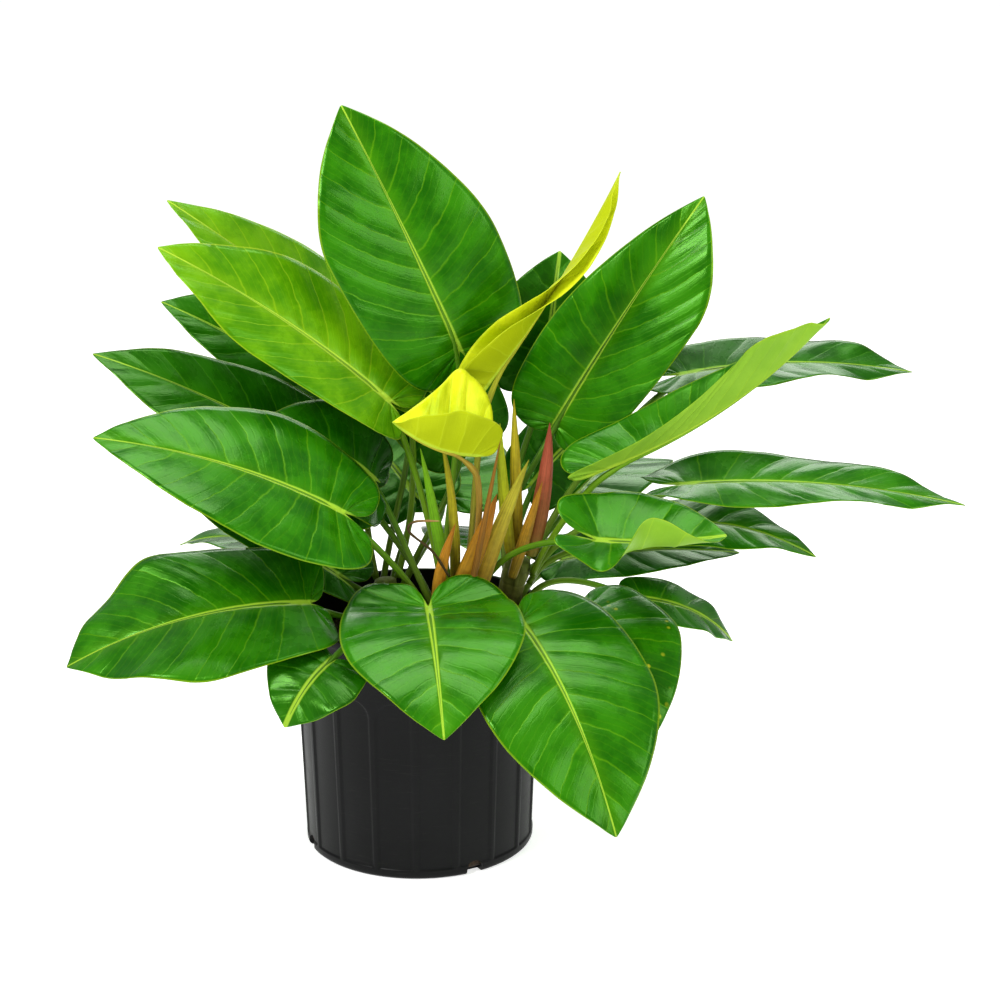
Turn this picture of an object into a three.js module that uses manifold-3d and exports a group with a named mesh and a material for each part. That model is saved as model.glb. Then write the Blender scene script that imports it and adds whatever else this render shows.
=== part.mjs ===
// A self-heading philodendron in a round nursery pot: the pot, the potting mix, three short stems
// and, growing from them, the leaves, the young sheaths and a few thin aerial roots.
// Millimetres, +Z up, origin at the centre of the pot's underside. Every growth point is measured
// from the centre of the mix surface, so the plant follows the pot when the pot changes.
import * as THREE from 'three';
import { mergeVertices } from 'three/addons/utils/BufferGeometryUtils.js';
import Module from 'manifold-3d';

const wasm = await Module();
wasm.setup();

// ---- the pot ----
const POT_HEIGHT = 250;
const POT_TOP_RADIUS = 127;
const POT_BASE_RADIUS = 118;
const POT_WALL = 3;
const POT_FLOOR = 4;
const POT_SEGMENTS = 54;
const LIP_WIDTH = 3;
const LIP_HEIGHT = 9;
const FOOT_CHAMFER = 4;
const PANELS = 18;
const PANEL_WIDTH = 36;
const PANEL_BOTTOM = 10;
const PANEL_TOP = 190;
const PANEL_RELIEF = 1.6;
const DRAIN_WIDTH = 18;
const DRAIN_HEIGHT = 14;
const DRAIN_REACH = 12;
const DRAIN_BEARINGS = [-60, -160, 110, 20];

// ---- the mix ----
const HEADSPACE = 35;
const MIX_DOME = 5;
const SOCKET_DEPTH = 45;
const CLEARANCE = 0.4;

// ---- the growth ----
const PETIOLE_RADIUS = 3.6;
const PETIOLE_SIDES = 6;
const PETIOLE_STEPS = 6;
const RIB_REACH = 18;
const BLADE_THICKNESS = 2;
const BLADE_ROWS = 8;
const BLADE_COLUMNS = 4;
const FAR_FACE = 5;
const FULL_FOLD_WIDTH = 14;
const ROOT_RADIUS = 1.5;

const mixLevel = POT_HEIGHT - HEADSPACE;
const rimRadius = POT_TOP_RADIUS + LIP_WIDTH;

// A point beyond the pot's rim: bearing (degrees), distance out from the rim, height over the rim.
function overRim(bearing, beyond, above) {
  const turn = THREE.MathUtils.degToRad(bearing);
  const reach = rimRadius + beyond;
  return [reach * Math.cos(turn), reach * Math.sin(turn), HEADSPACE + above];
}

// ---- the stems: where each enters the mix, where its top is, its radius ----
const STEMS = {
  a: { foot: [32, -16], top: [38, -16, 42], radius: 17 },
  b: { foot: [84, 32], top: [104, 20, 82], radius: 14 },
  c: { foot: [-32, 46], top: [-36, 50, 50], radius: 13 },
};

const TONES = { dark: 0x14601a, green: 0x2a8418, fresh: 0x5cab20, lime: 0xbcd820 };

// ---- the leaves ----
// Each row: name, stem, height of its node up the stem, where the petiole meets the blade, the
// blade's tip, the way its upper side faces, the widths of its left and right half, and what is
// particular about it:
// bow and sway: rise and sideways bend of the midrib, mm;
// lobe and broad: how far the two basal lobes reach back and where each half is widest, as shares
// of the length; perk: how far the lobes stand up, degrees;
// fold and curl: the left and the right half, degrees, up is positive; roll: curl added beyond the
// lobes; slim: share of each half's width left towards the tip;
// twist: of the blade towards its tip, degrees; wave: [height, count, phase] of the margin;
// turn: from the blade's bearing to the node's, round the stem, degrees; crown: [x, y] where a
// petiole stands on the stem's top; lean: [x, y, z] that moves the middle of the petiole; tone.
const LEAVES = [
  ['leaf_01', 'a', 42, [43, 62, 288], [-73, 60, 537], [0.25, -1, 0.35], [88, 88],
    { bow: 10, curl: [-6, -14], lobe: 0.08, broad: [0.52, 0.32], crown: [25, -4] }],
  ['leaf_02', 'a', 42, [141, 80, 206], [290, 84, 443], [-0.3, -1, 0.4], [64, 74],
    { bow: 10, fold: [8, 10], curl: [-10, -10], lobe: 0.06, broad: [0.22, 0.6], tone: 'dark',
      crown: [52, -6] }],
  ['leaf_03', 'a', 42, [72, 42, 256], [203, 42, 474], [-0.9, -0.2, 0.6], [40, 40],
    { bow: -6, fold: [74, 74], curl: [8, 8], lobe: 0.1, twist: 150, broad: [0.25, 0.25],
      tone: 'lime', crown: [46, 5] }],
  ['leaf_04', 'a', 42, [58, -22, 200], [-21, -52, 243], [0.1, 0.3, 1], [50, 88],
    { bow: -8, fold: [52, 76], curl: [10, 5], lobe: 0.26, broad: [0.3, 0.25],
      tone: 'lime', crown: [42, -10] }],
  ['leaf_05', 'a', 38, [-27, 30, 243], [-251, 0, 406], [0.1, -0.8, 1], [58, 72],
    { bow: 10, sway: 4, curl: [-10, -10], lobe: 0.1, broad: [0.5, 0.4], tone: 'fresh', turn: -28 }],
  ['leaf_06', 'c', 46, [-14, 88, 259], [-252, 84, 439], [0.1, -0.6, 1], [60, 60],
    { bow: 6, tone: 'fresh', turn: -15 }],
  ['leaf_07', 'c', 44, [-78, 125, 208], [-267, 118, 328], [0.1, -0.8, 1], [50, 76],
    { bow: 14, tone: 'dark', turn: 6 }],
  ['leaf_08', 'a', 32, [-70, 44, 158], [-324, 24, 294], [0.1, -0.7, 1], [70, 62],
    { bow: 18, tone: 'dark' }],
  ['leaf_09', 'a', 38, [-43, 18, 164], [-176, -10, 219], [0.1, -0.8, 1], [66, 60],
    { bow: 26, tone: 'dark', turn: 22 }],
  ['leaf_10', 'a', 26, [-69, -66, 154], [-306, -98, 239], [0.0, -0.6, 1], [84, 84],
    { bow: 18, curl: [-14, -14] }],
  ['leaf_11', 'c', 26, [-82, 14, 64], [-280, 14, 184], [0.2, -0.6, 1], [34, 60],
    { bow: 6, tone: 'dark' }],
  ['leaf_12', 'c', 20, overRim(154.4, 8.7, 31), overRim(160.5, 139.5, 38), [0, 0, 1], [50, 50],
    { bow: 16 }],
  ['leaf_13', 'a', 10, overRim(-145.3, -3.5, 28), overRim(-161.2, 229.2, -23), [-0.2, -0.6, 1], [90, 88],
    { bow: 24, lobe: 0.08, broad: [0.4, 0.5], wave: [6, 3, 0.2], lean: [0, 0, -16] }],
  ['leaf_14', 'a', 8, overRim(-119.5, 28.5, -7), overRim(-123.5, 90.8, -59), [-0.4, -1, 0.5], [50, 50],
    { bow: 12, lobe: 0.1, tone: 'dark', lean: [0, 0, HEADSPACE - 3] }],
  ['leaf_15', 'a', 20, overRim(-80, -54.9, 25), overRim(-82.4, 112.1, -49), [0, -0.5, 1], [90, 90],
    { bow: 20, fold: [6, 6], lobe: 0.18, perk: 32 }],
  ['leaf_16', 'a', 10, overRim(-38.9, 3.7, 14), overRim(-52.3, 185.8, -143), [0.15, -0.6, 1], [92, 88],
    { bow: 28, fold: [6, 6], lobe: 0.15, broad: [0.4, 0.4], lean: [0, 0, 12] }],
  ['leaf_17', 'b', 20, overRim(-6.7, 41.2, 7), overRim(-28.8, 139.4, -89), [0.3, -0.8, 1], [70, 70],
    { bow: 22, fold: [6, 6], turn: -10, lean: [0, 0, 14] }],
  ['leaf_18', 'b', 20, overRim(9.1, 98.8, -3), overRim(11.3, 206.5, -61), [0.2, -0.4, 1], [36, 36],
    { bow: 14, fold: [6, 6], turn: -12, lean: [0, 0, HEADSPACE - 14] }],
  ['leaf_19', 'b', 30, overRim(26.3, 37.3, 27), overRim(14.6, 218.3, 30), [0, -0.35, 1], [46, 44],
    { bow: 8, fold: [6, 6], tone: 'dark', lean: [0, 0, HEADSPACE - 34] }],
  ['leaf_20', 'a', 36, [179, -58, 124], [306, -78, 135], [-0.2, -0.6, 1], [62, 62],
    { bow: -6, fold: [6, 10], curl: [-6, -4], roll: [0, 170], slim: [1, 0.7], lobe: 0.34, perk: 20,
      turn: 42, lean: [0, 0, 20] }],
  ['leaf_21', 'b', 50, [230, 60, 99], [408, 20, 82], [0, -0.3, 1], [46, 46],
    { bow: 22, fold: [6, 6] }],
  ['leaf_22', 'b', 60, [268, 30, 156], [558, 20, 137], [0, -0.25, 1], [52, 50],
    { bow: 13, wave: [5, 3, 0] }],
  ['leaf_23', 'b', 66, [191, -10, 183], [407, -20, 340], [-0.4, -0.6, 0.8], [52, 52],
    { bow: -24, fold: [8, 92], curl: [0, 10], tone: 'fresh', lobe: 0.15, broad: [0.2, 0.66], slim: [1, 0.4] }],
  ['leaf_24', 'b', 76, [272, 120, 250], [515, 120, 253], [0, -0.3, 1], [54, 50],
    { bow: 13, wave: [4, 2.5, 0.3], tone: 'dark' }],
  ['leaf_25', 'b', 60, [131, 150, 240], [147, 170, 372], [0, -1, 0.3], [66, 66],
    { bow: 12, tone: 'dark', turn: 42 }],
  ['leaf_26', 'c', 40, [-22, 216, 232], [-104, 218, 352], [0, -1, 0.5], [56, 56],
    { bow: 12, tone: 'dark', turn: 16, lean: [18, 0, 8] }],
  ['leaf_27', 'c', 34, [48, 110, 185], [-37, 150, 290], [0, -1, 0.5], [62, 62],
    { bow: 12, tone: 'dark', turn: -10 }],
  ['leaf_28', 'b', 40, [118, 120, 130], [204, 175, 196], [0, -0.6, 1], [50, 50],
    { bow: 12, tone: 'dark', turn: 18 }],
  ['leaf_29', 'c', 30, [-8, 142, 112], [-100, 270, 162], [-0.4, 0.2, 1], [66, 66],
    { bow: 18, tone: 'dark', turn: 2 }],
  ['leaf_30', 'c', 24, [24, 165, 104], [18, 352, 112], [0, 0.3, 1], [70, 70],
    { bow: 26, turn: -10, lean: [8, 0, 0] }],
  ['leaf_31', 'b', 34, [166, 150, 110], [256, 320, 95], [0.2, 0.3, 1], [66, 74],
    { bow: 24, turn: 8 }],
  ['leaf_32', 'b', 12, overRim(65, 35.5, 25), overRim(76.4, 209.6, -65), [0, 0.5, 1], [76, 76],
    { bow: 26, turn: 40, lean: [0, 0, 10] }],
  ['leaf_33', 'b', 20, overRim(32.3, 94.7, 25), overRim(33.3, 252.8, 5), [0.2, 0.2, 1], [50, 50],
    { bow: 20, turn: 24, lean: [0, 14, HEADSPACE - 22] }],
];

// ---- the young sheaths: name, foot, tip, width, depth, sideways bend [x, y], colour ----
const SHEATHS = [
  ['sheath_pink', [114, 13, 86], [134, 12, 226], 19, 16, [8, 0], 0xb05a4c],
  ['sheath_tan', [58, -20, 46], [113, -8, 193], 18, 12, [-6, 0], 0xc2a868],
  ['sheath_russet', [36, -31, 47], [81, -24, 162], 21, 12, [4, 0], 0xa8672c],
  ['sheath_short', [20, -34, 44], [40, -40, 136], 13, 10, [-8, 0], 0xb0702e],
  ['sheath_small', [96, 0, 66], [127, -2, 169], 12, 9, [0, 0], 0xa87434],
  ['sheath_green', [31, -15, 46], [4, 0, 203], 13, 8, [4, 0], 0x5a9a24],
  ['sheath_olive', [37, 5, 45], [24, 12, 214], 11, 8, [12, 0], 0x9c9a34],
  ['sheath_lime', [95, 13, 86], [84, 14, 225], 13, 9, [-4, 0], 0xa2bc2c],
  ['sheath_ochre', [102, 25, 86], [98, 15, 250], 13, 9, [0, 0], 0xa8983a],
  ['old_stalk', [46, -45, 20], [85, -30, 222], 7, 7, [0, 0], 0x7a4a2a],
];

// ---- thin aerial roots: name and the points they wander through ----
const ROOTS = [
  ['aerial_root', ROOT_RADIUS, [33, -44, 82], [17, -48, 109], [-6, -46, 129], [-1, -45, 139], [24, -45, 140]],
];

// ---- geometry helpers ----
const vec = (a) => new THREE.Vector3(...a);
const rad = THREE.MathUtils.degToRad;

// A closed geometry as a boolean solid: corners shared, collapsed triangles dropped.
function solid(geometry) {
  const bare = geometry.clone();
  bare.deleteAttribute('normal');
  bare.deleteAttribute('uv');
  const shared = mergeVertices(bare, 1e-4);
  const corners = shared.index.array;
  const triangles = [];
  for (let i = 0; i < corners.length; i += 3) {
    const [a, b, c] = corners.slice(i, i + 3);
    if (a !== b && b !== c && c !== a) triangles.push(a, b, c);
  }
  return new wasm.Manifold(new wasm.Mesh({
    numProp: 3,
    vertProperties: new Float32Array(shared.attributes.position.array),
    triVerts: new Uint32Array(triangles),
  }));
}

// A boolean solid as a named mesh with its own material.
function piece(name, manifold, color, roughness = 0.5) {
  const { vertProperties, triVerts } = manifold.getMesh();
  const geometry = new THREE.BufferGeometry();
  geometry.setAttribute('position', new THREE.BufferAttribute(new Float32Array(vertProperties), 3));
  geometry.setIndex(new THREE.BufferAttribute(new Uint32Array(triVerts), 1));
  geometry.computeVertexNormals();
  const mesh = new THREE.Mesh(geometry, new THREE.MeshStandardMaterial({ color, roughness, metalness: 0 }));
  mesh.name = name;
  return mesh;
}

function ringShape(radius, sides) {
  const corners = [];
  for (let i = 0; i < sides; i += 1) {
    const angle = (i / sides) * 2 * Math.PI;
    corners.push(new THREE.Vector2(radius * Math.cos(angle), radius * Math.sin(angle)));
  }
  return new THREE.Shape(corners);
}

// A round bar of one radius along a curve.
function bar(curve, radius, steps, sides) {
  const options = { steps, extrudePath: curve, bevelEnabled: false };
  return solid(new THREE.ExtrudeGeometry(ringShape(radius, sides), options));
}

// A body turned about the Z axis from [radius, height] pairs.
function turned(profile, segments) {
  const points = profile.map(([r, z]) => new THREE.Vector2(r, z));
  return solid(new THREE.LatheGeometry(points, segments).rotateX(Math.PI / 2));
}

// ---- pot ----
const potSlope = (POT_TOP_RADIUS - POT_BASE_RADIUS) / POT_HEIGHT;
const outerRadius = (z) => POT_BASE_RADIUS + potSlope * z;
const innerRadius = (z) => outerRadius(z) - POT_WALL;

// An outline with a flat foot and a round head, standing on z = 0 in the X-Z plane.
function archShape(width, height) {
  const half = width / 2;
  const shape = new THREE.Shape();
  shape.moveTo(-half, 0);
  shape.lineTo(half, 0);
  shape.lineTo(half, height - half);
  shape.absarc(0, height - half, half, 0, Math.PI, false);
  shape.closePath();
  return shape;
}

// The arch as a block that runs outwards from the given distance, at one bearing and height.
function archBlock(width, height, from, depth, bearing, z, draft = 0) {
  const block = new THREE.ExtrudeGeometry(archShape(width, height), { depth, bevelEnabled: false, curveSegments: 4 });
  block.rotateX(Math.PI / 2).rotateX(draft).rotateZ(Math.PI).translate(0, from, z);
  return solid(block.rotateZ(rad(bearing) - Math.PI / 2));
}

function potBody() {
  const body = turned([
    [0, 0],
    [outerRadius(0) - FOOT_CHAMFER, 0],
    [outerRadius(FOOT_CHAMFER), FOOT_CHAMFER],
    [outerRadius(POT_HEIGHT - LIP_HEIGHT), POT_HEIGHT - LIP_HEIGHT],
    [outerRadius(POT_HEIGHT) + LIP_WIDTH, POT_HEIGHT - LIP_HEIGHT],
    [outerRadius(POT_HEIGHT) + LIP_WIDTH, POT_HEIGHT],
    [innerRadius(POT_HEIGHT), POT_HEIGHT],
    [innerRadius(FOOT_CHAMFER), POT_FLOOR + FOOT_CHAMFER],
    [innerRadius(0) - FOOT_CHAMFER, POT_FLOOR],
    [0, POT_FLOOR],
  ], POT_SEGMENTS);
  const cuts = [];
  const draft = Math.atan(potSlope);
  for (let i = 0; i < PANELS; i += 1) {
    const bearing = (i * 360) / PANELS;
    const face = outerRadius(PANEL_BOTTOM) - PANEL_RELIEF;
    const height = PANEL_TOP - PANEL_BOTTOM;
    cuts.push(archBlock(PANEL_WIDTH, height, face, PANEL_WIDTH, bearing, PANEL_BOTTOM, draft));
  }
  for (const bearing of DRAIN_BEARINGS) {
    const from = outerRadius(0) - DRAIN_REACH;
    cuts.push(archBlock(DRAIN_WIDTH, DRAIN_HEIGHT + FOOT_CHAMFER, from, 2 * DRAIN_REACH, bearing, -FOOT_CHAMFER));
  }
  return cuts.reduce((rest, cut) => rest.subtract(cut), body);
}

// ---- mix: fills the pot up to the headspace, with a socket round every stem ----
function stemBar(stem, extra = 0) {
  const top = vec(stem.top);
  const foot = vec([...stem.foot, 0]);
  const along = top.clone().sub(foot).normalize();
  const low = foot.clone().addScaledVector(along, -(SOCKET_DEPTH + extra) / along.z);
  return bar(new THREE.LineCurve3(low, top), stem.radius + extra, 1, 12);
}

function mixBody() {
  const fit = CLEARANCE;
  const body = turned([
    [0, POT_FLOOR + fit - mixLevel],
    [innerRadius(0) - FOOT_CHAMFER - fit, POT_FLOOR + fit - mixLevel],
    [innerRadius(FOOT_CHAMFER) - fit, POT_FLOOR + FOOT_CHAMFER + fit - mixLevel],
    [innerRadius(mixLevel - MIX_DOME) - fit, -MIX_DOME],
    [POT_TOP_RADIUS / 2, 0],
    [0, 0],
  ], POT_SEGMENTS);
  return Object.values(STEMS).reduce((rest, stem) => rest.subtract(stemBar(stem, CLEARANCE)), body);
}

// ---- leaves ----
// One half of a flat heart-shaped blade of unit half-width and unit length, from the notch round
// the basal lobe to the widest point and on to the short drawn-out tip.
function outline(u, lobe, broad) {
  const at = (x, y) => new THREE.Vector2(x, y);
  const rest = 1 - broad;
  const parts = [
    [0, 0.2, at(0.02, -0.01), at(0.05, -0.7 * lobe), at(0.2, -lobe), at(0.46, -lobe)],
    [0.2, 0.5, at(0.46, -lobe), at(0.84, -lobe), at(1, broad - 0.25), at(1, broad)],
    [0.5, 1, at(1, broad), at(1, broad + 0.42 * rest), at(0.34, broad + 0.84 * rest), at(0.012, 1)],
  ];
  const [from, to, ...handles] = parts.find((part) => u <= part[1]);
  return new THREE.CubicBezierCurve(...handles).getPoint((u - from) / (to - from));
}

// A point of the flat blade: t runs from the left margin (-1) over the midrib (0) to the right
// margin (1) along a side vein, u from the notch to the tip.
const veinRoot = (u) => Math.max(0, (u - 0.25) / 0.75) ** 1.5;

function flatPoint(t, u, lobe, broad) {
  const margin = outline(u, lobe, broad);
  const across = Math.abs(t);
  const root = veinRoot(u);
  return [margin.x * across, root + (margin.y - root) * (0.6 * across + 0.4 * across ** 2)];
}

// The blade's place in space: its midrib, and at each point of it the right-hand and upward sides.
function bladeFrame([, , , joint, tip, facing, , shape]) {
  const from = vec(joint);
  const to = vec(tip);
  const chord = to.clone().sub(from).normalize();
  const up = vec(facing).projectOnPlane(chord).normalize();
  const right = chord.clone().cross(up);
  const middle = from.clone().add(to).multiplyScalar(0.5);
  middle.addScaledVector(up, 2 * (shape.bow ?? 0)).addScaledVector(right, 2 * (shape.sway ?? 0));
  const midrib = new THREE.QuadraticBezierCurve3(from, middle, to);
  const length = from.distanceTo(to);
  const perk = rad(shape.perk ?? 0);
  return (v) => {
    const at = Math.max(v, 0);
    const point = midrib.getPoint(at);
    const along = midrib.getTangent(at);
    const side = along.clone().cross(up).normalize();
    const over = side.clone().cross(along);
    const behind = length * Math.min(v, 0);
    point.addScaledVector(along, behind * Math.cos(perk)).addScaledVector(over, -behind * Math.sin(perk));
    const turn = rad((shape.twist ?? 0) * at);
    side.applyAxisAngle(along, turn);
    over.applyAxisAngle(along, turn);
    return { point, along, side, over };
  };
}

// The middle surface of the blade and its upward normal.
function bladePoint(row, frame, t, u) {
  const [, , , , , , widths, shape] = row;
  const hand = t < 0 ? 0 : 1;
  const half = widths[hand];
  const [flatX, v] = flatPoint(t, u, shape.lobe ?? 0.14, (shape.broad ?? [0.32, 0.32])[hand]);
  const slim = (shape.slim ?? [1, 1])[hand];
  const x = flatX * (slim + (1 - slim) * THREE.MathUtils.smoothstep(u, 0.25, 0.7));
  const { point, side, over } = frame(v);
  const narrow = Math.min(1, (outline(u, 0, 0.3).x * half) / FULL_FOLD_WIDTH);
  const fold = t === 0 ? 0 : rad((shape.fold ?? [8, 8])[hand]) * narrow;
  const rolled = (shape.roll ?? [0, 0])[hand] * THREE.MathUtils.smoothstep(v, 0, 0.5);
  const curl = rad((shape.curl ?? [-8, -8])[hand] + rolled) || 1e-6;
  const lean = fold + curl * x;
  const outward = (half / curl) * (Math.sin(lean) - Math.sin(fold));
  const [height, count, phase] = shape.wave ?? [0, 1, 0];
  const ripple = height * Math.sin(2 * Math.PI * (count * u + phase + 0.35 * hand)) * t * t;
  const upward = (half / curl) * (Math.cos(fold) - Math.cos(lean)) + ripple * Math.min(1, x * 2);
  const sign = Math.sign(t);
  const at = point.addScaledVector(side, sign * outward).addScaledVector(over, upward);
  const normal = over.clone().multiplyScalar(Math.cos(lean)).addScaledVector(side, -sign * Math.sin(lean));
  return { at, normal };
}

// Splits every square of the block's far face along the same diagonal as on its near face, so that
// the two skins of a thin warped sheet stay apart.
function alignDiagonals(block) {
  const { start, count } = block.groups[FAR_FACE];
  const corners = block.index;
  for (let i = start; i < start + count; i += 6) {
    const first = corners.getX(i);
    const opposite = corners.getX(i + 4);
    corners.setX(i + 2, opposite);
    corners.setX(i + 3, first);
  }
}

// A closed sheet: a flat block whose width runs over both halves and whose height runs from the
// notch to the tip, bent into the blade.
function blade(row) {
  const frame = bladeFrame(row);
  const block = new THREE.BoxGeometry(2, 1, 1, BLADE_COLUMNS, BLADE_ROWS, 1);
  alignDiagonals(block);
  const corners = block.attributes.position;
  for (let i = 0; i < corners.count; i += 1) {
    const { at, normal } = bladePoint(row, frame, corners.getX(i), corners.getY(i) + 0.5);
    at.addScaledVector(normal, corners.getZ(i) * BLADE_THICKNESS);
    corners.setXYZ(i, at.x, at.y, at.z);
  }
  return solid(block);
}

// The petiole leaves the stem at its node, rises, and runs on a little way under the midrib.
function petiole(row) {
  const [, stemName, nodeHeight, joint, , , , shape] = row;
  const stem = STEMS[stemName];
  const rise = nodeHeight / stem.top[2];
  const axis = vec([...stem.foot, 0]).lerp(vec(stem.top), rise);
  const frame = bladeFrame(row);
  const reach = PETIOLE_RADIUS - BLADE_THICKNESS / 2;
  const { point: meet, along, over } = frame(0);
  meet.addScaledVector(over, -reach);
  const bearing = Math.atan2(joint[1] - axis.y, joint[0] - axis.x) + rad(shape.turn ?? 0);
  const out = new THREE.Vector3(Math.cos(bearing), Math.sin(bearing), 0);
  const foot = axis.clone().addScaledVector(out, stem.radius + PETIOLE_RADIUS + CLEARANCE * 2);
  if (shape.crown) foot.set(...shape.crown, stem.top[2] + PETIOLE_RADIUS + CLEARANCE);
  const span = foot.distanceTo(meet);
  const leave = out.clone().multiplyScalar(0.35).add(new THREE.Vector3(0, 0, 0.8)).normalize();
  const arrive = meet.clone().sub(foot).normalize().addScaledVector(along, 0.4).normalize();
  const lean = vec(shape.lean ?? [0, 0, 0]);
  const first = foot.clone().addScaledVector(leave, span / 3).add(lean);
  const second = meet.clone().addScaledVector(arrive, -span / 3).add(lean);
  const rising = new THREE.CubicBezierCurve3(foot, first, second, meet);
  const under = frame(RIB_REACH / meet.distanceTo(vec(row[4])));
  const end = under.point.addScaledVector(under.over, -PETIOLE_RADIUS * 0.25);
  const curve = new THREE.CatmullRomCurve3([...rising.getPoints(PETIOLE_STEPS - 1), end]);
  return bar(curve, PETIOLE_RADIUS, PETIOLE_STEPS, PETIOLE_SIDES);
}

// Blade and petiole as one body, without the loose slivers that a sharp bend leaves in the join.
function leafBody(row) {
  const bodies = blade(row).add(petiole(row)).decompose();
  return bodies.reduce((largest, body) => (body.volume() > largest.volume() ? body : largest));
}

// ---- young sheaths: pointed, flattened spindles ----
function sheath([, foot, tip, width, depth, [bendX, bendY]]) {
  const from = vec(foot);
  const to = vec(tip);
  const middle = from.clone().add(to).multiplyScalar(0.5).add(new THREE.Vector3(bendX, bendY, 0));
  const spine = new THREE.QuadraticBezierCurve3(from, middle, to);
  const profile = [[0, 0], [0.34, 0], [0.46, 0.12], [0.5, 0.3], [0.45, 0.5], [0.34, 0.7], [0.18, 0.88], [0, 1]];
  const spindle = new THREE.LatheGeometry(profile.map(([r, s]) => new THREE.Vector2(r, s)), 8);
  spindle.rotateX(Math.PI / 2);
  const corners = spindle.attributes.position;
  for (let i = 0; i < corners.count; i += 1) {
    const s = THREE.MathUtils.clamp(corners.getZ(i), 0, 1);
    const along = spine.getTangent(s);
    const side = along.clone().cross(new THREE.Vector3(0, 1, 0)).normalize();
    const front = side.clone().cross(along);
    const at = spine.getPoint(s);
    at.addScaledVector(side, corners.getX(i) * width).addScaledVector(front, -corners.getY(i) * depth);
    corners.setXYZ(i, at.x, at.y, at.z);
  }
  return solid(spindle);
}

// ---- assembly ----
const plant = new THREE.Group();
plant.position.z = mixLevel;
plant.add(piece('potting_mix', mixBody(), 0x241a14, 0.95));
for (const [letter, stem] of Object.entries(STEMS)) {
  plant.add(piece(`stem_${letter}`, stemBar(stem), 0x6f6a3a, 0.7));
}
for (const row of LEAVES) {
  const tone = TONES[row[7].tone ?? 'green'];
  plant.add(piece(row[0], leafBody(row), tone, 0.35));
}
for (const row of SHEATHS) plant.add(piece(row[0], sheath(row), row[6], 0.5));
for (const [name, radius, ...points] of ROOTS) {
  const path = new THREE.CatmullRomCurve3(points.map(vec));
  plant.add(piece(name, bar(path, radius, 4 * points.length, 5), 0x4a2a1c, 0.8));
}

const model = new THREE.Group();
model.add(piece('nursery_pot', potBody(), 0x1c1d1f, 0.45));
model.add(plant);

export default model;
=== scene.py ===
# The potted philodendron's looks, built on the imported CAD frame. Growth tables are in millimetres,
# measured from the centre of the potting mix's surface, as in the CAD source.
import math

import bmesh
import bpy
import numpy as np
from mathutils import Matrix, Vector, noise


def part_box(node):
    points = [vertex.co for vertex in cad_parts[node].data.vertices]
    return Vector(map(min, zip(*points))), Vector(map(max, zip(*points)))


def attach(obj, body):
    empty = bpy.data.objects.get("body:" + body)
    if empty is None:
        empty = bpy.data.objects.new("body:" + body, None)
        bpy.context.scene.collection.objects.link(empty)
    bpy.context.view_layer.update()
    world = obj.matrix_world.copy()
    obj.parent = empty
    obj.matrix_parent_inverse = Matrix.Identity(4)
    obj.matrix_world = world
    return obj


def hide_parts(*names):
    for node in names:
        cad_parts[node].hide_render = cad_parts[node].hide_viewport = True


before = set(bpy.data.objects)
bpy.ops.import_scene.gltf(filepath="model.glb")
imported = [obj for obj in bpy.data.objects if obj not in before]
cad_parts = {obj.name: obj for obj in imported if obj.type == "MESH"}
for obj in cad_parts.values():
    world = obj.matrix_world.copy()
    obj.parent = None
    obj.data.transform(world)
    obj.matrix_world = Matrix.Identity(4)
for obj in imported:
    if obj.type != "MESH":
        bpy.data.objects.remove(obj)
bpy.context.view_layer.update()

MM = 0.001
MIX_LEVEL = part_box("potting_mix")[1].z
POT_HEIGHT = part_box("nursery_pot")[1].z
HEADSPACE = (POT_HEIGHT - MIX_LEVEL) / MM
RIM_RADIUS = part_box("nursery_pot")[1].x / MM


def over_rim(bearing, beyond, above):
    """A point beyond the pot's rim: bearing, distance out from the rim, height over the rim."""
    turn, reach = math.radians(bearing), RIM_RADIUS + beyond
    return (reach * math.cos(turn), reach * math.sin(turn), HEADSPACE + above)



# ---------------------------------------------------------------- growth tables
# Where each stem enters the mix, its top and its radius.
STEMS = {
    "a": {"foot": (32, -16), "top": (38, -16, 42), "radius": 17},
    "b": {"foot": (84, 32), "top": (104, 20, 82), "radius": 14},
    "c": {"foot": (-32, 46), "top": (-36, 50, 50), "radius": 13},
}
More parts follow.
